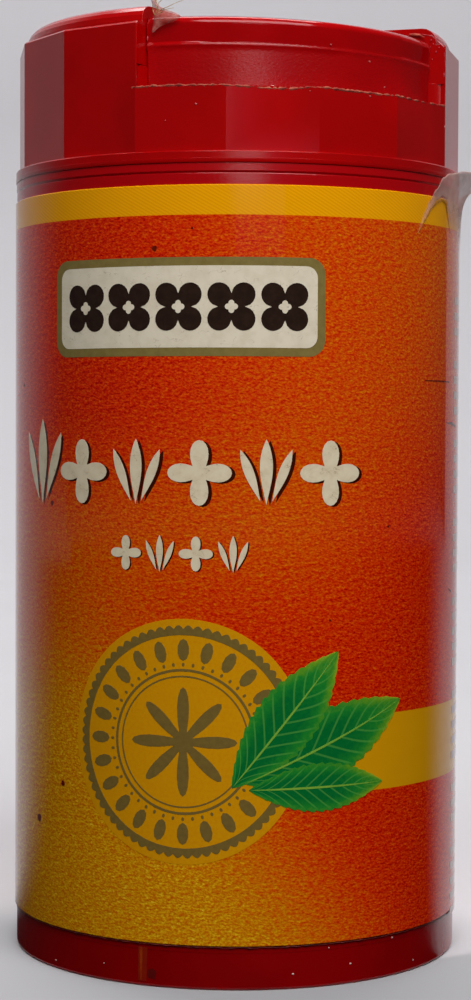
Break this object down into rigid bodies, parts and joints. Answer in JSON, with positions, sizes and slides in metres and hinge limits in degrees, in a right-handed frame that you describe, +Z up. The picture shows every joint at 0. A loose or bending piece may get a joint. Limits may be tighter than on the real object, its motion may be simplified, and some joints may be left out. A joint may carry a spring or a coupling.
{
  "type": "spice jar",
  "caption": "Round red plastic spice jar for whole cloves with a faceted snap cap, a fan-shaped pour flap, a printed wrap label and a peeling corner of clear film.",
  "frame": {"origin": "centre of the jar's underside, on the surface it stands on", "axes": "+Z up along the jar's axis, -Y towards the shown side with the main print, +X to its right"},
  "size_m": [0.05, 0.0461, 0.0949],
  "materials": {
    "jar_plastic": "deep red moulded plastic, glossy, with fine dust specks",
    "cap_plastic": "red moulded plastic, glossy, lightly scuffed, with a line of dirt under the flap",
    "label_film": "printed glossy wrap in grainy orange-red and ochre with a yellow band",
    "clear_film": "thin clear film, creased and slightly dirty"
  },
  "bodies": {
    "root": {"jar_body": "jar_plastic", "wrap_label": "label_film", "faceted_cap": "cap_plastic", "pour_flap": "cap_plastic", "film_curl": "clear_film", "film_scrap": "clear_film"}
  },
  "joints": []
}
